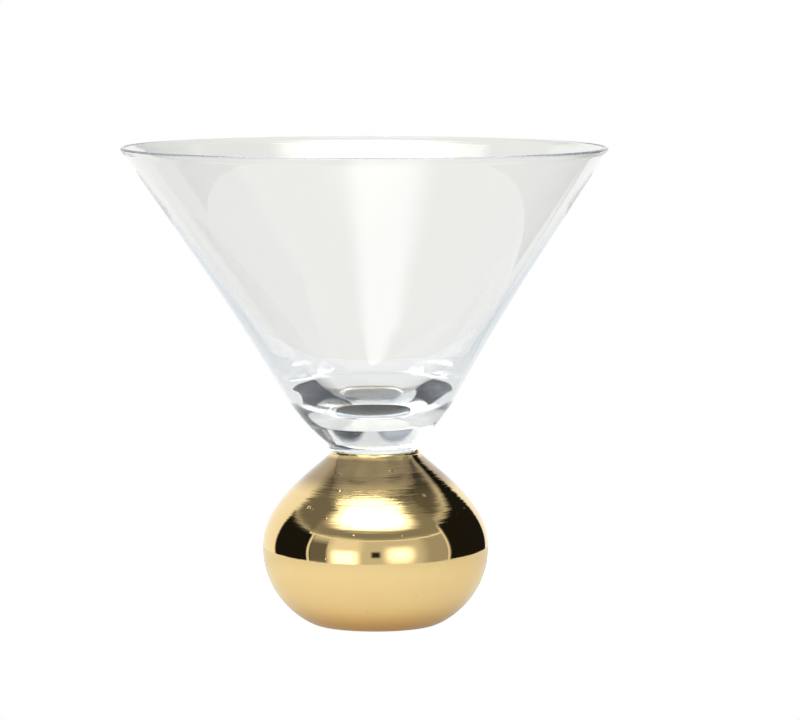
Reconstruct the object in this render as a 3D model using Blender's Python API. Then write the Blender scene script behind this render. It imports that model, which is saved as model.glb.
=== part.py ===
"""Martini glass: a clear blown bowl cemented to a flattened solid glass ball, which is plated in gold.

Metres, +Z up, origin at the centre of the flat that the ball stands on. Every piece is turned about Z.
"""

import math

import bmesh
import bpy
from mathutils import Vector
from mathutils.geometry import interpolate_bezier

# Driving dimensions
TOTAL_HEIGHT = 0.1133
RIM_RADIUS = 0.0575
LIP_THICKNESS = 0.0011

RIM_SLOPE = 33.8            # degrees from vertical, as are all the slopes here
KNEE_RADIUS = 0.0194        # where the long wall turns into the flare above the heel
KNEE_HEIGHT = 0.0532
KNEE_SLOPE = 30.2
FLARE_RADIUS = 0.0108
FLARE_HEIGHT = 0.0434
FLARE_SLOPE = 53.9
HEEL_RADIUS = 0.0102
HEEL_LENGTH = 0.0012        # from the top of the upright heel to the foot of the flare
HEEL_BEVEL = 0.0002

WELL_EDGE_RADIUS = 0.02355  # where the inner wall turns towards the well
WELL_EDGE_HEIGHT = 0.0660
WELL_EDGE_SLOPE = 36.1
WELL_BEND_RADIUS = 0.0136   # half way round the well
WELL_BEND_HEIGHT = 0.05535
WELL_BEND_SLOPE = 51.8
WELL_FLOOR_RADIUS = 0.0064  # flat bottom of the drink space
WELL_FLOOR_HEIGHT = 0.0524

BALL_RADIUS = 0.0268
BALL_WIDEST_HEIGHT = 0.0187
FOOT_RADIUS = 0.0135
SHOULDER_RADIUS = 0.01056
SHOULDER_HEIGHT = 0.04086
SHOULDER_SLOPE = 42.0
COLLAR_RADIUS = 0.01035
COLLAR_TOP = 0.04135
COLLAR_STEP = 0.0001        # from the end of the shoulder to the foot of the upright collar

GAP = 0.0003                # clearance between neighbouring solids
PLATING_THICKNESS = 0.0003  # the metal layer, thickened to a printable skin
BOND_THICKNESS = 0.0003

# How far each curve keeps the direction of its two ends: a longer ease is a rounder curve
HEEL_EASE, FLARE_FOOT_EASE = 0.0005, 0.0004
FLARE_EASE, KNEE_EASE = 0.0032, 0.0039
WALL_EASE, RIM_EASE = 0.0250, 0.0420
INNER_EASE = 0.0200
WELL_EDGE_EASE, WELL_BEND_EASE_UP = 0.0016, 0.0038
WELL_BEND_EASE_DOWN, WELL_FLOOR_EASE = 0.0019, 0.0020
FOOT_EASE, BALL_EASE_DOWN = 0.0022, 0.0132
BALL_EASE_UP, SHOULDER_EASE = 0.0107, 0.0042

# Heights and radii that follow
HEEL_HEIGHT = COLLAR_TOP + GAP
BOND_TOP = COLLAR_TOP
BOND_BASE = BOND_TOP - BOND_THICKNESS
SEAT_HEIGHT = BOND_BASE - GAP
BOND_RADIUS = COLLAR_RADIUS - PLATING_THICKNESS - GAP

# Fineness of the turned meshes
SEGMENTS = 48
WELD_DISTANCE = 0.000001
SHARP_ANGLE = math.radians(40)


def clear_scene():
    for item in list(bpy.data.objects):
        bpy.data.objects.remove(item, do_unlink=True)


def make_material(name, color, roughness, metallic, transmission=0.0):
    material = bpy.data.materials.new(name)
    material.use_nodes = True
    shader = material.node_tree.nodes["Principled BSDF"]
    shader.inputs["Base Color"].default_value = (*color, 1.0)
    shader.inputs["Roughness"].default_value = roughness
    shader.inputs["Metallic"].default_value = metallic
    shader.inputs["Transmission Weight"].default_value = transmission
    return material


def step_along(point, slope, length):
    """The point this far from (radius, height) along a line that leans outwards by slope degrees."""
    lean = math.radians(slope)
    return (point[0] + length * math.sin(lean), point[1] + length * math.cos(lean))


def curve(start, start_handle, end_handle, end, steps):
    """Points of a cubic curve in the (radius, height) plane, both ends included."""
    controls = [Vector(point) for point in (start, start_handle, end_handle, end)]
    return [tuple(point) for point in interpolate_bezier(*controls, steps + 1)]


def inset(outline, depth):
    """An outline that runs upwards along an outer surface, moved this far into the material."""
    moved = []
    for index, point in enumerate(outline):
        before = Vector(outline[max(index - 1, 0)])
        after = Vector(outline[min(index + 1, len(outline) - 1)])
        along = (after - before).normalized()
        moved.append((point[0] - along.y * depth, point[1] + along.x * depth))
    return moved


def turned(name, outline, material):
    """A closed solid from an outline whose two ends lie on the Z axis."""
    work = bmesh.new()
    ring = [work.verts.new((radius, 0.0, height)) for radius, height in outline]
    edges = [work.edges.new(pair) for pair in zip(ring, ring[1:])]
    bmesh.ops.spin(work, geom=ring + edges, cent=(0, 0, 0), axis=(0, 0, 1),
                   angle=math.tau, steps=SEGMENTS, use_merge=True)
    bmesh.ops.remove_doubles(work, verts=work.verts, dist=WELD_DISTANCE)
    bmesh.ops.recalc_face_normals(work, faces=work.faces)
    mesh = bpy.data.meshes.new(name)
    work.to_mesh(mesh)
    work.free()
    mesh.materials.append(material)
    mesh.shade_smooth()
    mesh.set_sharp_from_angle(angle=SHARP_ANGLE)
    piece = bpy.data.objects.new(name, mesh)
    bpy.context.scene.collection.objects.link(piece)
    return piece


def bowl_outer_outline():
    """From the centre of the heel's flat underside, up the flare and the long wall to the lip."""
    flare = (FLARE_RADIUS, FLARE_HEIGHT)
    knee = (KNEE_RADIUS, KNEE_HEIGHT)
    rim = (RIM_RADIUS, TOTAL_HEIGHT - LIP_THICKNESS / 2)
    heel_top = (HEEL_RADIUS, FLARE_HEIGHT - HEEL_LENGTH)
    outline = [(0.0, HEEL_HEIGHT), (HEEL_RADIUS - HEEL_BEVEL, HEEL_HEIGHT),
               (HEEL_RADIUS, HEEL_HEIGHT + HEEL_BEVEL)]
    outline += curve(heel_top, step_along(heel_top, 0, HEEL_EASE),
                     step_along(flare, FLARE_SLOPE, -FLARE_FOOT_EASE), flare, 3)
    outline += curve(flare, step_along(flare, FLARE_SLOPE, FLARE_EASE),
                     step_along(knee, KNEE_SLOPE, -KNEE_EASE), knee, 5)[1:]
    outline += curve(knee, step_along(knee, KNEE_SLOPE, WALL_EASE),
                     step_along(rim, RIM_SLOPE, -RIM_EASE), rim, 6)[1:]
    return outline


def lip_outline():
    """The rounded lip, from the outer wall over the top to the inner wall."""
    radius = LIP_THICKNESS / 2
    centre = (RIM_RADIUS - radius, TOTAL_HEIGHT - radius)
    angles = [math.radians(angle) for angle in (45, 90, 135, 180)]
    return [(centre[0] + radius * math.cos(angle), centre[1] + radius * math.sin(angle)) for angle in angles]


def bowl_inner_outline():
    """Down the inside from the lip, round the well and in to the centre of its floor."""
    lip = lip_outline()[-1]
    edge = (WELL_EDGE_RADIUS, WELL_EDGE_HEIGHT)
    bend = (WELL_BEND_RADIUS, WELL_BEND_HEIGHT)
    floor = (WELL_FLOOR_RADIUS, WELL_FLOOR_HEIGHT)
    outline = curve(lip, step_along(lip, RIM_SLOPE, -INNER_EASE),
                    step_along(edge, WELL_EDGE_SLOPE, INNER_EASE), edge, 5)[1:]
    outline += curve(edge, step_along(edge, WELL_EDGE_SLOPE, -WELL_EDGE_EASE),
                     step_along(bend, WELL_BEND_SLOPE, WELL_BEND_EASE_UP), bend, 4)[1:]
    outline += curve(bend, step_along(bend, WELL_BEND_SLOPE, -WELL_BEND_EASE_DOWN),
                     (WELL_FLOOR_RADIUS + WELL_FLOOR_EASE, WELL_FLOOR_HEIGHT), floor, 4)[1:]
    return outline + [(0.0, WELL_FLOOR_HEIGHT)]


def ball_outline():
    """The plated ball's surface, from the edge of its flat foot up to the start of its collar."""
    foot = (FOOT_RADIUS, 0.0)
    widest = (BALL_RADIUS, BALL_WIDEST_HEIGHT)
    shoulder = (SHOULDER_RADIUS, SHOULDER_HEIGHT)
    outline = curve(foot, (FOOT_RADIUS + FOOT_EASE, 0.0), (BALL_RADIUS, BALL_WIDEST_HEIGHT - BALL_EASE_DOWN),
                    widest, 8)
    outline += curve(widest, (BALL_RADIUS, BALL_WIDEST_HEIGHT + BALL_EASE_UP),
                     step_along(shoulder, -SHOULDER_SLOPE, -SHOULDER_EASE), shoulder, 9)[1:]
    return outline


def extended_to_radius(outline, radius):
    """The outline with its last stretch carried on to this radius."""
    before, last = outline[-2], outline[-1]
    share = (radius - last[0]) / (last[0] - before[0])
    return outline + [(radius, last[1] + share * (last[1] - before[1]))]


def extended_to_height(outline, height):
    """The outline below this height, with its last stretch carried on or cut back to it."""
    kept = [point for point in outline if point[1] < height - GAP / 2]
    before, last = kept[-2], kept[-1]
    share = (height - last[1]) / (last[1] - before[1])
    return kept + [(last[0] + share * (last[0] - before[0]), height)]


def build_bowl():
    glass = make_material("clear_glass", (0.96, 0.98, 0.97), 0.02, 0.0, transmission=1.0)
    turned("bowl", bowl_outer_outline() + lip_outline() + bowl_inner_outline(), glass)


def build_gold_plating():
    gold = make_material("gold_metal", (0.86, 0.64, 0.33), 0.12, 1.0)
    outer = ball_outline()
    inner_collar = COLLAR_RADIUS - PLATING_THICKNESS
    inner = extended_to_radius(inset(outer, PLATING_THICKNESS), inner_collar)
    collar = [(COLLAR_RADIUS, SHOULDER_HEIGHT + COLLAR_STEP), (COLLAR_RADIUS, COLLAR_TOP),
              (inner_collar, COLLAR_TOP)]
    outline = [(0.0, 0.0)] + outer + collar + inner[::-1] + [(0.0, PLATING_THICKNESS)]
    turned("gold_plating", outline, gold)


def build_ball_core():
    glass = make_material("core_glass", (0.80, 0.84, 0.82), 0.10, 0.0, transmission=1.0)
    depth = PLATING_THICKNESS + GAP
    body = extended_to_height(inset(ball_outline(), depth), SEAT_HEIGHT)
    turned("ball_core", [(0.0, depth)] + body + [(0.0, SEAT_HEIGHT)], glass)


def build_bond_disc():
    cement = make_material("cement_grey", (0.30, 0.31, 0.31), 0.40, 0.0)
    outline = [(0.0, BOND_BASE), (BOND_RADIUS, BOND_BASE), (BOND_RADIUS, BOND_TOP), (0.0, BOND_TOP)]
    turned("bond_disc", outline, cement)


def main():
    clear_scene()
    build_bowl()
    build_gold_plating()
    build_ball_core()
    build_bond_disc()


main()
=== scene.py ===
import math
from typing import NamedTuple

import bpy
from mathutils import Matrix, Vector, noise
from mathutils.geometry import interpolate_bezier


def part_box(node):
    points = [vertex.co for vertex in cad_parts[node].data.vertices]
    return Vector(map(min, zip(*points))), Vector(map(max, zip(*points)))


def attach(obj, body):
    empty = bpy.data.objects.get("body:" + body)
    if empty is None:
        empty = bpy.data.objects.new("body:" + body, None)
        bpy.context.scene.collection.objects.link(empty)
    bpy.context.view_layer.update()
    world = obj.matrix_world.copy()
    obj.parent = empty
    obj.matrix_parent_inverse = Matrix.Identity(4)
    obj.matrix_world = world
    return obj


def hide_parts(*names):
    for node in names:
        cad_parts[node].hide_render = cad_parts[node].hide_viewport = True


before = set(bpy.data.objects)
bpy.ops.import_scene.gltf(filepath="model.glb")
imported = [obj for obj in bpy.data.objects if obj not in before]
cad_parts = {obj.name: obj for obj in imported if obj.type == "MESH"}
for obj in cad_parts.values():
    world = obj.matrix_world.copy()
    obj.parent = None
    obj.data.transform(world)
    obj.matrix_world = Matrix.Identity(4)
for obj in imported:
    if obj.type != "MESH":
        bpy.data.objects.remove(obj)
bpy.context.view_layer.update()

# A stemless martini glass: a clear blown bowl cemented onto a solid glass ball that is plated in gold.
# Metres, +Z up, the same frame as the CAD. Outlines are lists of (radius, height) points.

# Sizes that the CAD gives
TOTAL_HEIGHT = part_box("bowl")[1].z
RIM_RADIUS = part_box("bowl")[1].x
BALL_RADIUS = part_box("gold_plating")[1].x
COLLAR_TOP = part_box("gold_plating")[1].z
BOND_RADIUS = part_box("bond_disc")[1].x
SEAT_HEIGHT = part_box("ball_core")[1].z

# Bowl
LIP_THICKNESS = 0.0011
RIM_SLOPE = 33.8            # degrees from vertical, as are all the slopes here
KNEE_RADIUS = 0.0194        # where the long wall turns into the flare above the heel
KNEE_HEIGHT = 0.0532
KNEE_SLOPE = 30.2
FLARE_RADIUS = 0.0108
FLARE_HEIGHT = 0.0434
FLARE_SLOPE = 53.9
HEEL_RADIUS = 0.0102
HEEL_HEIGHT = COLLAR_TOP + 0.00005
HEEL_TOP = 0.0417
HEEL_SLOPE = 5.0
HEEL_BEVEL = 0.0002
WELL_EDGE_RADIUS = 0.02355  # where the inner wall turns towards the well
WELL_EDGE_HEIGHT = 0.0660
WELL_EDGE_SLOPE = 36.1
WELL_BEND_RADIUS = 0.0136   # half way round the well
WELL_BEND_HEIGHT = 0.05535
WELL_BEND_SLOPE = 51.8
WELL_FLOOR_RADIUS = 0.00636
WELL_FLOOR_HEIGHT = 0.05237

# The hand-made bowl sits a little off the ball's axis and leans the same way
HEEL_SHIFT = -0.0007
RIM_SHIFT = -0.0026

# Waves in the blown wall: how many to the metre, how high, and the radius inside which they fade out
WAVE_SCALE = (45.0, 45.0, 40.0)
WAVE_HEIGHT = 0.00004
WAVE_FADE_RADIUS = 0.006

# Ball
BALL_WIDEST_HEIGHT = 0.0187
FOOT_RADIUS = 0.0135
SHOULDER_RADIUS = 0.01056
SHOULDER_HEIGHT = 0.04086
SHOULDER_SLOPE = 42.0
COLLAR_RADIUS = 0.01035
COLLAR_FOOT = SHOULDER_HEIGHT + 0.00025
COLLAR_BEVEL = 0.00012
SEAT_BEVEL = 0.0004
SKIN_THICKNESS = 0.00025
CORE_DEPTH = 0.0005         # from the outside of the skin down to the glass ball
FILM_GAP = 0.00003          # clearance above and below the film of adhesive

# Lumps on the ball's shoulder: how many to the metre, how high, and where they start and are full
LUMP_SCALE = (150.0, 150.0, 420.0)
LUMP_HEIGHT = 0.000018
LUMP_START, LUMP_FADE = 0.022, 0.008

# How far each curve keeps the direction of its two ends: a longer ease is a rounder curve
HEEL_EASE, FLARE_FOOT_EASE = 0.00064, 0.0002
FLARE_EASE, KNEE_EASE = 0.0032, 0.0039
WALL_EASE, RIM_EASE = 0.0250, 0.0420
INNER_EASE = 0.0200
WELL_EDGE_EASE, WELL_BEND_EASE_UP = 0.0016, 0.0038
WELL_BEND_EASE_DOWN, WELL_FLOOR_EASE = 0.0019, 0.0020
FOOT_EASE, BALL_EASE_DOWN = 0.0022, 0.0132
BALL_EASE_UP, SHOULDER_EASE = 0.0107, 0.0042
COLLAR_EASE_OUT, COLLAR_EASE_DOWN = 0.00005, 0.0001

# Fineness of the turned meshes
SEGMENTS = 256
HIDDEN_SEGMENTS = 128
ON_AXIS = 1e-6              # a point closer to the axis than this lies on it

# Glass
GLASS_IOR = 1.52
DEPTH_TINT = (0.80, 0.84, 0.90, 1.0)
DEPTH_TINT_DENSITY = 14.0
RIPPLE_SCALE = (90.0, 90.0, 260.0)
RIPPLE_HEIGHT, RIPPLE_STRENGTH = 0.00002, 0.35

# Gold. A fade is a pair of heights, from where a mark starts to where it is full.
GOLD_TONES = ((0.855, 0.635, 0.285, 1.0), (0.870, 0.660, 0.320, 1.0))
# Painted shade: a deeper, darker tone towards the foot stands in for the shade and dark reflection where the
# ball meets the table, on top of the real shade there.
FOOT_PAINTED_SHADE, FOOT_PAINTED_SHADE_SHARE = (0.76, 0.47, 0.15, 1.0), 0.8
# Painted shade: the neck's brown is partly this dark tone painted into the gold, standing in for a dark
# reflection, and partly the studio's real reflections.
NECK_PAINTED_SHADE, NECK_PAINTED_SHADE_SHARE = (0.19, 0.135, 0.085, 1.0), 0.75
PIT_TONE, PIT_TONE_SHARE = (0.34, 0.20, 0.06, 1.0), 0.45
FOOT_SHADE_FADE = (0.0085, 0.0)
SHOULDER_FADE = (0.0235, 0.0300)
NECK_SHADE_FADE = (0.0320, 0.0362)
NECK_SHADE_TOP_FADE = (0.0408, 0.0398)
POLISHED, BRUSHED, PIT_ROUGHNESS = 0.03, 0.08, 0.25
RELIEF_HEIGHT = 0.00003     # of one unit of relief
STREAK_RELIEF = (0.12, 1.3)         # on the body and on the shoulder
WIDE_STREAK_RELIEF = (0.2, 2.9)
DIMPLE_RELIEF = 2.5

# Table: round, and its edge shows all round in the lower half of the ball
TABLE_RADIUS = 0.137
TABLE_CENTRE = 0.038
TABLE_HEIGHT = -0.0001
TABLE_STEPS = 160
TABLE_SHADE = (0.62, 0.62, 0.62, 1.0)
TABLE_ROUGHNESS = 0.9
# Painted light: the table's emission makes a pool of light round the ball and towards the front left.
NEAR_GLOW, FAR_GLOW = 0.26, 0.15            # emission next to the ball and far from it
NEAR_DISTANCE, FAR_DISTANCE = 0.045, 0.110
LEFT_GLOW, RIGHT_GLOW = 1.10, 0.35          # share of it at the front left and at the back right
LEFT_SIDE, RIGHT_SIDE = -0.07, 0.13
GLOW_THROUGH_GLASS = 0.27
GLOW_FOR_CAMERA = 0.90


class Panel(NamedTuple):
    """A soft-edged rectangle in the room, in degrees.

    Azimuth is 0 towards the photographer (-Y) and grows to the right (+X). Softness is sideways and upwards.
    """
    brightness: float
    azimuths: tuple
    elevations: tuple
    softness: tuple


ALL_ROUND = (-200, 200)     # past both ends of the range, so that no soft end shows

# What the gold and the outside of the glass reflect
OPEN_ROOM = 1.05
REFLECTED_PANELS = (
    Panel(0.30, ALL_ROUND, (45, 100), (3, 20)),             # ceiling
    Panel(0.66, (-76, 82), (-14, 33), (3, 2)),              # front wall
    Panel(0.40, (52, 90), (-14, 33), (16, 2)),              # its dim right end
    Panel(0.27, (-82, 84), (30, 56), (3, 8)),               # above the front wall
    Panel(2.60, (-44, -19), (-16, 10), (14, 18)),           # left window
    Panel(0.95, (-47, -15), (10, 30), (14, 8)),             # pale wall over the left window
    Panel(2.30, (13, 38), (-10, 14), (16, 16)),             # right window
    Panel(0.15, (-84, -51), (-14, 22), (3, 12)),            # dark screen left of the windows
    Panel(0.03, (-4, 5), (-4, 8), (4, 5)),                  # camera
    Panel(0.012, (-124, -71), (-22, 30), (4, 3)),           # left flag
    Panel(0.18, (-124, -77), (30, 62), (8, 10)),            # shade over the left flag
    Panel(0.12, (84, 135), (42, 76), (10, 12)),             # shade over the right flag
    Panel(0.012, (83, 151), (-22, 38), (3, 6)),             # right flag
    Panel(0.92, ALL_ROUND, (-100, -22), (3, 4)),            # floor beyond the table
    Panel(0.85, (-74.5, -71.5), (-12, 30), (1, 2)),         # light along the left edge of the front wall
    Panel(0.85, (79.5, 82), (-12, 36), (1, 2)),             # along its right edge
    Panel(0.90, (-80, 82), (27.5, 29.5), (2, 0.8)),         # and along its top
    Panel(4.60, (-60, 48), (46, 84), (40, 14)),             # softbox
)

# What is seen through the glass
CLEAR_LEVEL = 0.87
TURNED_BACK_PANELS = (
    Panel(0.50, (-80, 71), (-95, 36), (3, 8)),              # front wall
    Panel(0.052, (-129, -80), (-58, 19), (3, 6)),           # left flag
    Panel(0.052, (71, 150), (-60, 48), (3, 6)),             # right flag
)
LED_ALONG_WALL_LEVEL = 0.90
HIGH_LEVEL, HIGH_FADE = 0.78, (46, 54)
HIGH_SOFTBOX = Panel(3.00, (-62, 40), (64, 82), (30, 10))
SHORT_PATH_PANELS = (
    Panel(0.24, ALL_ROUND, (48, 100), (3, 8)),              # ceiling
    Panel(0.05, (62, 144), (40, 100), (24, 10)),            # right shade
    Panel(0.55, (-128, -70), (45, 80), (16, 8)),            # left shade
    Panel(0.82, (-200, -134), (48, 86), (16, 3)),           # pale back of the ceiling, left half
    Panel(0.82, (138, 200), (48, 86), (16, 3)),             # and right half
    Panel(4.60, (-96, 66), (50, 100), (16, 4)),             # softbox
)

# What the inner wall of the bowl reflects up out of its mouth
MOUTH_LEVEL = 0.66
MOUTH_SOFTBOX = Panel(3.60, (-50, 14), (52, 86), (30, 16))

BACKDROP = 1.0
DARK_TINT, LIGHT_TINT = (0.86, 1.0, 1.20, 1.0), (1.0, 0.99, 0.91, 1.0)
WHITE = (1.0, 1.0, 1.0, 1.0)

# Camera
CAMERA_PLACE = (0.0058, -1.180, 0.1671)
CAMERA_PITCH = -5.05
CAMERA_LENS = 225.5
LIGHT_BOUNCES = 120         # enough for light that is led down inside the wall of the bowl


# Outlines

def step_along(point, slope, length):
    """The point this far from (radius, height) along a line that leans outwards by slope degrees."""
    lean = math.radians(slope)
    return (point[0] + length * math.sin(lean), point[1] + length * math.cos(lean))


def curve(start, start_handle, end_handle, end, steps):
    """Points of a cubic curve, both ends included."""
    controls = [Vector(point) for point in (start, start_handle, end_handle, end)]
    return [tuple(point) for point in interpolate_bezier(*controls, steps + 1)]


def arc(centre, radius, start, end, steps):
    """Points of a circular arc from one angle to another, in degrees from the outward direction."""
    angles = [math.radians(start + (end - start) * step / steps) for step in range(steps + 1)]
    return [(centre[0] + radius * math.cos(angle), centre[1] + radius * math.sin(angle)) for angle in angles]


def flat_disc(radius, height, steps):
    """Points across a flat disc, from the axis to its edge."""
    return [(radius * step / steps, height) for step in range(steps + 1)]


def inset(outline, depth):
    """An outline that runs upwards along an outer surface, moved this far into the material."""
    moved = []
    for index, point in enumerate(outline):
        before = Vector(outline[max(index - 1, 0)])
        after = Vector(outline[min(index + 1, len(outline) - 1)])
        along = (after - before).normalized()
        moved.append((point[0] - along.y * depth, point[1] + along.x * depth))
    return moved


def bowl_outline():
    """From the centre of the heel's underside, up the outside, over the lip and down to the well's floor."""
    heel_inner = HEEL_RADIUS - HEEL_BEVEL
    heel_top = (HEEL_RADIUS, HEEL_TOP)
    flare = (FLARE_RADIUS, FLARE_HEIGHT)
    knee = (KNEE_RADIUS, KNEE_HEIGHT)
    lip_radius = LIP_THICKNESS / 2
    rim = (RIM_RADIUS, TOTAL_HEIGHT - lip_radius)
    edge = (WELL_EDGE_RADIUS, WELL_EDGE_HEIGHT)
    bend = (WELL_BEND_RADIUS, WELL_BEND_HEIGHT)
    floor = (WELL_FLOOR_RADIUS, WELL_FLOOR_HEIGHT)

    outline = flat_disc(heel_inner, HEEL_HEIGHT, steps=8)
    outline += arc((heel_inner, HEEL_HEIGHT + HEEL_BEVEL), HEEL_BEVEL, -90, 0, steps=6)[1:]
    outline += curve(heel_top, step_along(heel_top, HEEL_SLOPE, HEEL_EASE),
                     step_along(flare, FLARE_SLOPE, -FLARE_FOOT_EASE), flare, steps=14)
    outline += curve(flare, step_along(flare, FLARE_SLOPE, FLARE_EASE),
                     step_along(knee, KNEE_SLOPE, -KNEE_EASE), knee, steps=34)[1:]
    outline += curve(knee, step_along(knee, KNEE_SLOPE, WALL_EASE),
                     step_along(rim, RIM_SLOPE, -RIM_EASE), rim, steps=70)[1:]
    outline += arc((RIM_RADIUS - lip_radius, rim[1]), lip_radius, 0, 180, steps=16)[1:]
    lip = outline[-1]
    outline += curve(lip, step_along(lip, RIM_SLOPE, -INNER_EASE),
                     step_along(edge, WELL_EDGE_SLOPE, INNER_EASE), edge, steps=60)[1:]
    outline += curve(edge, step_along(edge, WELL_EDGE_SLOPE, -WELL_EDGE_EASE),
                     step_along(bend, WELL_BEND_SLOPE, WELL_BEND_EASE_UP), bend, steps=30)[1:]
    outline += curve(bend, step_along(bend, WELL_BEND_SLOPE, -WELL_BEND_EASE_DOWN),
                     (WELL_FLOOR_RADIUS + WELL_FLOOR_EASE, WELL_FLOOR_HEIGHT), floor, steps=26)[1:]
    return outline + flat_disc(*floor, steps=8)[-2::-1]


def ball_surface():
    """The plated ball's surface, from the edge of its flat foot up to the end of its shoulder."""
    foot = (FOOT_RADIUS, 0.0)
    widest = (BALL_RADIUS, BALL_WIDEST_HEIGHT)
    shoulder = (SHOULDER_RADIUS, SHOULDER_HEIGHT)
    lower = curve(foot, (FOOT_RADIUS + FOOT_EASE, 0.0),
                  (BALL_RADIUS, BALL_WIDEST_HEIGHT - BALL_EASE_DOWN), widest, steps=70)
    upper = curve(widest, (BALL_RADIUS, BALL_WIDEST_HEIGHT + BALL_EASE_UP),
                  step_along(shoulder, -SHOULDER_SLOPE, -SHOULDER_EASE), shoulder, steps=80)
    return lower + upper[1:]


def skin_outline():
    """The gold skin: up its outside to the top of the collar and back down its inside."""
    surface = ball_surface()
    collar = curve(surface[-1], (COLLAR_RADIUS + COLLAR_EASE_OUT, SHOULDER_HEIGHT + COLLAR_EASE_OUT),
                   (COLLAR_RADIUS, COLLAR_FOOT - COLLAR_EASE_DOWN), (COLLAR_RADIUS, COLLAR_FOOT), steps=6)[1:]
    collar += arc((COLLAR_RADIUS - COLLAR_BEVEL, COLLAR_TOP - COLLAR_BEVEL), COLLAR_BEVEL, 0, 90, steps=5)
    inner_collar = (COLLAR_RADIUS - SKIN_THICKNESS, COLLAR_FOOT)
    inside = inset(surface, SKIN_THICKNESS)[::-3] + [(0.0, SKIN_THICKNESS)]
    return flat_disc(FOOT_RADIUS, 0.0, steps=10)[:-1] + surface + collar + [inner_collar] + inside


def core_outline():
    """The glass ball under the skin, with a flat seat on top."""
    surface = inset(ball_surface(), CORE_DEPTH)[::2]
    body = [point for point in surface if point[1] < SEAT_HEIGHT - SEAT_BEVEL]
    seat = flat_disc(BOND_RADIUS, SEAT_HEIGHT, steps=6)
    return [(0.0, CORE_DEPTH)] + body + seat[::-1]


def bond_outline():
    """The film of adhesive that fills the joint inside the collar."""
    under_side = flat_disc(BOND_RADIUS, SEAT_HEIGHT + FILM_GAP, steps=8)
    upper_side = flat_disc(BOND_RADIUS, HEEL_HEIGHT - FILM_GAP, steps=8)
    return under_side + upper_side[::-1]


# Meshes

def turned(name, outline, segments, moved=None):
    """A closed surface from an outline whose ends lie on the axis. moved() gives a point its final place."""
    points, rings, faces = [], [], []
    for radius, height in outline:
        count = segments if radius > ON_AXIS else 1
        rings.append(range(len(points), len(points) + count))
        for step in range(count):
            turn = math.tau * step / segments
            point = Vector((radius * math.cos(turn), radius * math.sin(turn), height))
            points.append(moved(point) if moved else point)
    for lower, upper in zip(rings, rings[1:]):
        for step in range(segments):
            a, b = lower[step % len(lower)], lower[(step + 1) % len(lower)]
            c, d = upper[(step + 1) % len(upper)], upper[step % len(upper)]
            face = list(dict.fromkeys((a, b, c, d)))
            if len(face) > 2:
                faces.append(face)
    mesh = bpy.data.meshes.new(name)
    mesh.from_pydata(points, [], faces)
    mesh.shade_smooth()
    return add_object(name, mesh)


def add_object(name, data):
    item = bpy.data.objects.new(name, data)
    bpy.context.scene.collection.objects.link(item)
    return item


def swollen(point, scale, height):
    """A point moved outwards or inwards by soft noise of this scale and height."""
    radius = math.hypot(point.x, point.y)
    if radius < ON_AXIS:
        return point
    spot = Vector((point.x * scale[0], point.y * scale[1], point.z * scale[2]))
    swell = height * noise.noise(spot)
    return Vector((point.x * (1 + swell / radius), point.y * (1 + swell / radius), point.z))


def hand_blown(point):
    """A point of the bowl with the slight waviness, shift and lean of a glass made by hand."""
    fade = min(1.0, math.hypot(point.x, point.y) / WAVE_FADE_RADIUS)
    share = (point.z - HEEL_HEIGHT) / (TOTAL_HEIGHT - HEEL_HEIGHT)
    shift = HEEL_SHIFT + (RIM_SHIFT - HEEL_SHIFT) * max(0.0, share)
    return swollen(point, WAVE_SCALE, WAVE_HEIGHT * fade) + Vector((shift, 0.0, 0.0))


def hand_turned(point):
    """A point of the ball with the slight lumpiness of its shoulder."""
    share = min(1.0, max(0.0, (point.z - LUMP_START) / LUMP_FADE))
    return swollen(point, LUMP_SCALE, LUMP_HEIGHT * share)


def hand_set(point):
    """A point of the adhesive, which sits between the ball's axis and the heel."""
    return point + Vector((HEEL_SHIFT / 2, 0.0, 0.0))


# Materials

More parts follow.
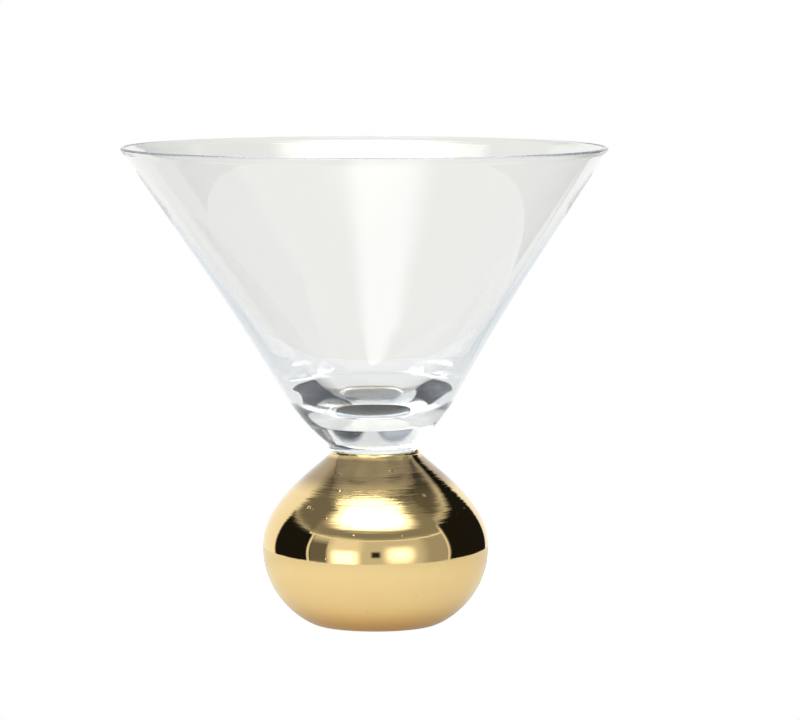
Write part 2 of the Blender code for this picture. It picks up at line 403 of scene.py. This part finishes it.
class Tree:
    """Short names for the nodes of one material or world."""

    def __init__(self, owner):
        owner.use_nodes = True
        self.tree = owner.node_tree
        self.nodes = self.tree.nodes

    def link(self, value, socket):
        if isinstance(value, bpy.types.NodeSocket):
            self.tree.links.new(value, socket)
        else:
            socket.default_value = value

    def add(self, kind, **inputs):
        node = self.nodes.new(kind)
        for name, value in inputs.items():
            self.link(value, node.inputs[name.replace("_", " ")])
        return node

    def math(self, operation, *values):
        node = self.nodes.new("ShaderNodeMath")
        node.operation = operation
        for index, value in enumerate(values):
            self.link(value, node.inputs[index])
        return node.outputs[0]

    def times(self, first, second):
        return self.math("MULTIPLY", first, second)

    def plus(self, first, second):
        return self.math("ADD", first, second)

    def above(self, value, limit):
        """1 where the value is more than the limit, else 0."""
        return self.math("GREATER_THAN", value, limit)

    def blend(self, share, low, high):
        """low where share is 0, high where it is 1."""
        node = self.nodes.new("ShaderNodeMix")
        for index, value in ((0, share), (2, low), (3, high)):
            self.link(value, node.inputs[index])
        return node.outputs[0]

    def blend_color(self, share, low, high):
        node = self.nodes.new("ShaderNodeMix")
        node.data_type = "RGBA"
        for index, value in ((0, share), (6, low), (7, high)):
            self.link(value, node.inputs[index])
        return node.outputs[2]

    def ramp(self, value, low, high):
        """A soft step from 0 at low to 1 at high; low may be the larger one."""
        node = self.nodes.new("ShaderNodeMapRange")
        node.interpolation_type = "SMOOTHSTEP"
        self.link(value, node.inputs["Value"])
        node.inputs["From Min"].default_value = min(low, high)
        node.inputs["From Max"].default_value = max(low, high)
        node.inputs["To Min"].default_value = float(low > high)
        node.inputs["To Max"].default_value = float(low < high)
        return node.outputs[0]

    def band(self, value, low, high, softness):
        """1 between low and high, with soft ends."""
        half = softness / 2
        return self.times(self.ramp(value, low - half, low + half),
                          self.ramp(value, high + half, high - half))

    def axes(self, vector):
        """The three parts of a vector."""
        node = self.nodes.new("ShaderNodeSeparateXYZ")
        self.link(vector, node.inputs[0])
        return node.outputs

    def place(self, scale=(1.0, 1.0, 1.0)):
        """The object's own coordinates in metres, times a scale for each axis."""
        coordinates = self.nodes.new("ShaderNodeTexCoord")
        mapping = self.add("ShaderNodeMapping", Vector=coordinates.outputs["Object"], Scale=scale)
        return mapping.outputs[0]

    def noise(self, scale, detail=2.0, roughness=0.5):
        """Soft noise with this many features to the metre along each axis."""
        node = self.add("ShaderNodeTexNoise", Vector=self.place(scale), Scale=1.0, Detail=detail,
                        Roughness=roughness)
        return node.outputs["Fac"]

    def spots(self, density, outer, inner, rarity):
        """Sparse round spots, 1 in the middle, in the share 1 - rarity of the cells of a random pattern."""
        cells = self.add("ShaderNodeTexVoronoi", Vector=self.place((density, density, density)), Scale=1.0)
        choice = self.axes(cells.outputs["Color"])["X"]
        return self.times(self.ramp(cells.outputs["Distance"], outer, inner),
                          self.ramp(choice, rarity, rarity + 0.03))


def new_material(name, **values):
    """A material with these plain values on its Principled shader."""
    material = bpy.data.materials.new(name)
    tree = Tree(material)
    shader = tree.nodes["Principled BSDF"]
    for socket, value in values.items():
        shader.inputs[socket.replace("_", " ")].default_value = value
    return material, tree, shader


def clear_glass():
    """Clear glass with a cool tint in its depth and faint ripples from blowing."""
    material, tree, shader = new_material("clear_glass", Base_Color=WHITE, Roughness=0.0, IOR=GLASS_IOR,
                                          Transmission_Weight=1.0)
    ripples = tree.noise(RIPPLE_SCALE, detail=3.0)
    bump = tree.add("ShaderNodeBump", Height=ripples, Strength=RIPPLE_STRENGTH, Distance=RIPPLE_HEIGHT)
    tree.link(bump.outputs[0], shader.inputs["Normal"])
    depth = tree.add("ShaderNodeVolumeAbsorption", Color=DEPTH_TINT, Density=DEPTH_TINT_DENSITY)
    tree.link(depth.outputs[0], tree.nodes["Material Output"].inputs["Volume"])
    return material


def gold_metal():
    """Polished gold plating with turning streaks on the shoulder and fine pits, and painted shade: a dark
    brown tone on the neck and a deeper, darker tone towards the foot.
    """
    material, tree, shader = new_material("gold_metal", Metallic=1.0)
    height = tree.axes(tree.place())["Z"]
    shoulder = tree.ramp(height, *SHOULDER_FADE)
    foot = tree.ramp(height, *FOOT_SHADE_FADE)
    neck = tree.times(tree.ramp(height, *NECK_SHADE_FADE), tree.ramp(height, *NECK_SHADE_TOP_FADE))

    streaks = tree.noise((70.0, 70.0, 2600.0), detail=4.0, roughness=0.6)
    wide_streaks = tree.noise((55.0, 55.0, 800.0), detail=3.0)
    clouds = tree.noise((110.0, 110.0, 110.0), detail=3.0)
    pits = tree.spots(620.0, outer=0.15, inner=0.04, rarity=0.90)
    dimples = tree.times(tree.spots(260.0, outer=0.17, inner=0.08, rarity=0.80), shoulder)

    tone = tree.blend_color(clouds, *GOLD_TONES)
    # Painted shade: darker towards the foot, where the ball meets the table.
    tone = tree.blend_color(tree.times(foot, FOOT_PAINTED_SHADE_SHARE), tone, FOOT_PAINTED_SHADE)
    # Painted shade: the dark reflection on the neck, painted into the gold as a brown tone.
    tone = tree.blend_color(tree.times(neck, NECK_PAINTED_SHADE_SHARE), tone, NECK_PAINTED_SHADE)
    tone = tree.blend_color(tree.times(pits, PIT_TONE_SHARE), tone, PIT_TONE)
    tree.link(tone, shader.inputs["Base Color"])

    brushed = tree.blend(shoulder, POLISHED, tree.blend(wide_streaks, POLISHED, BRUSHED))
    tree.link(tree.plus(brushed, tree.times(pits, PIT_ROUGHNESS)), shader.inputs["Roughness"])

    relief = tree.times(streaks, tree.blend(shoulder, *STREAK_RELIEF))
    relief = tree.plus(relief, tree.times(wide_streaks, tree.blend(shoulder, *WIDE_STREAK_RELIEF)))
    relief = tree.math("SUBTRACT", relief, pits)
    relief = tree.plus(relief, tree.times(dimples, DIMPLE_RELIEF))
    bump = tree.add("ShaderNodeBump", Height=relief, Strength=1.0, Distance=RELIEF_HEIGHT)
    tree.link(bump.outputs[0], shader.inputs["Normal"])
    return material


def mottled(name, marks_scale, detail, tones, roughness):
    """A plain material whose tone and roughness both drift between two values."""
    material, tree, shader = new_material(name)
    marks = tree.noise(marks_scale, detail)
    tree.link(tree.blend_color(marks, *tones), shader.inputs["Base Color"])
    tree.link(tree.blend(marks, *roughness), shader.inputs["Roughness"])
    return material


def core_glass():
    """The plain glass of the hidden ball, clouded by mould marks."""
    return mottled("core_glass", (160.0, 160.0, 160.0), 4.0,
                   ((0.70, 0.76, 0.74, 1.0), (0.82, 0.87, 0.85, 1.0)), (0.15, 0.35))


def cement():
    """Cured adhesive, dark against the plated seat, with streaks from spreading."""
    return mottled("cement", (60.0, 1400.0, 60.0), 2.0,
                   ((0.055, 0.060, 0.058, 1.0), (0.20, 0.21, 0.21, 1.0)), (0.25, 0.45))


# Pieces

def add_piece(piece, node, material):
    piece.data.materials.append(material)
    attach(piece, "root")
    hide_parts(node)


def build_pieces():
    bowl = turned("bowl_glass", bowl_outline(), SEGMENTS, hand_blown)
    skin = turned("gold_skin", skin_outline(), SEGMENTS, hand_turned)
    core = turned("core_ball", core_outline(), HIDDEN_SEGMENTS)
    film = turned("bond_film", bond_outline(), HIDDEN_SEGMENTS, hand_set)
    add_piece(bowl, "bowl", clear_glass())
    add_piece(skin, "gold_plating", gold_metal())
    add_piece(core, "ball_core", core_glass())
    add_piece(film, "bond_disc", cement())


# Studio

def build_table():
    """A plain round white table top, with painted light: its emission glows brighter round the ball and
    towards the front left.
    """
    corners = []
    for step in range(TABLE_STEPS):
        turn = math.tau * step / TABLE_STEPS
        corners.append((TABLE_RADIUS * math.cos(turn), TABLE_CENTRE + TABLE_RADIUS * math.sin(turn),
                        TABLE_HEIGHT))
    mesh = bpy.data.meshes.new("table")
    mesh.from_pydata(corners, [], [range(TABLE_STEPS)])
    table = add_object("table", mesh)
    material, tree, shader = new_material("white_table", Base_Color=TABLE_SHADE, Roughness=TABLE_ROUGHNESS,
                                          Specular_IOR_Level=0.0, Emission_Color=WHITE)
    x, y, _ = tree.axes(tree.place())
    distance = tree.math("SQRT", tree.plus(tree.math("POWER", x, 2.0), tree.math("POWER", y, 2.0)))
    side = tree.plus(x, tree.times(y, 0.5))
    # Painted light: a glow that is brighter round the ball and towards the front left.
    glow = tree.blend(tree.ramp(distance, NEAR_DISTANCE, FAR_DISTANCE), NEAR_GLOW, FAR_GLOW)
    glow = tree.times(glow, tree.blend(tree.ramp(side, LEFT_SIDE, RIGHT_SIDE), LEFT_GLOW, RIGHT_GLOW))
    path = tree.nodes.new("ShaderNodeLightPath").outputs
    glow = tree.blend(path["Is Transmission Ray"], glow, GLOW_THROUGH_GLASS)
    tree.link(tree.blend(path["Is Camera Ray"], glow, GLOW_FOR_CAMERA), shader.inputs["Emission Strength"])
    mesh.materials.append(material)


def build_world():
    """A white backdrop, and a room of soft panels and dark flags that shows in the gold and in the glass.

    The gold and the outside of the glass see the reflected room. Light that leaves the glass sees a clear
    level if it went straight through, and dark flags if it was turned back inside the glass.
    """
    world = bpy.data.worlds.new("studio")
    bpy.context.scene.world = world
    tree = Tree(world)
    tree.nodes.clear()
    x, y, z = tree.axes(tree.nodes.new("ShaderNodeTexCoord").outputs["Generated"])
    path = tree.nodes.new("ShaderNodeLightPath").outputs
    to_degrees = math.degrees(1)
    azimuth = tree.times(tree.math("ARCTAN2", x, tree.times(y, -1.0)), to_degrees)
    elevation = tree.times(tree.math("ARCSINE", z), to_degrees)

    def room(level, *panels):
        """level with the panels laid over it, each over the ones before."""
        for panel in panels:
            soft_sides, soft_heights = panel.softness
            share = tree.times(tree.band(azimuth, *panel.azimuths, soft_sides),
                               tree.band(elevation, *panel.elevations, soft_heights))
            level = tree.blend(share, level, panel.brightness)
        return level

    turned_back = tree.above(path["Glossy Depth"], 0.5)
    led_along_wall = tree.above(path["Glossy Depth"], 4.5)
    one_piece_crossed = tree.math("LESS_THAN", path["Transmission Depth"], 2.5)
    was_in_glass = tree.above(path["Transmission Depth"], 0.5)

    through = tree.blend(turned_back, CLEAR_LEVEL, room(CLEAR_LEVEL, *TURNED_BACK_PANELS))
    through = tree.blend(led_along_wall, through, LED_ALONG_WALL_LEVEL)
    through = tree.blend(tree.ramp(elevation, *HIGH_FADE), through, HIGH_LEVEL)
    through = room(through, HIGH_SOFTBOX)
    through = tree.blend(tree.times(turned_back, one_piece_crossed), through,
                         room(through, *SHORT_PATH_PANELS))

    level = tree.blend(was_in_glass, room(OPEN_ROOM, *REFLECTED_PANELS), room(MOUTH_LEVEL, MOUTH_SOFTBOX))
    level = tree.blend(path["Is Transmission Ray"], level, through)
    level = tree.blend(path["Is Diffuse Ray"], level, BACKDROP)
    level = tree.blend(path["Is Camera Ray"], level, BACKDROP)
    tint = tree.blend_color(tree.math("MINIMUM", level, 1.0), DARK_TINT, LIGHT_TINT)
    color = tree.blend_color(path["Is Transmission Ray"], WHITE, tint)
    background = tree.add("ShaderNodeBackground", Color=color, Strength=level)
    tree.link(background.outputs[0], tree.add("ShaderNodeOutputWorld").inputs["Surface"])


def build_camera():
    data = bpy.data.cameras.new("camera")
    data.sensor_width = 36.0
    data.lens = CAMERA_LENS
    data.clip_end = 50.0
    camera = add_object("camera", data)
    camera.location = CAMERA_PLACE
    camera.rotation_euler = (math.radians(90.0 + CAMERA_PITCH), 0.0, 0.0)
    bpy.context.scene.camera = camera


def set_looks():
    scene = bpy.context.scene
    scene.view_settings.view_transform = "Standard"
    scene.cycles.max_bounces = LIGHT_BOUNCES
    scene.cycles.transmission_bounces = LIGHT_BOUNCES
    scene.cycles.glossy_bounces = LIGHT_BOUNCES


build_camera()
build_pieces()
build_table()
build_world()
set_looks()
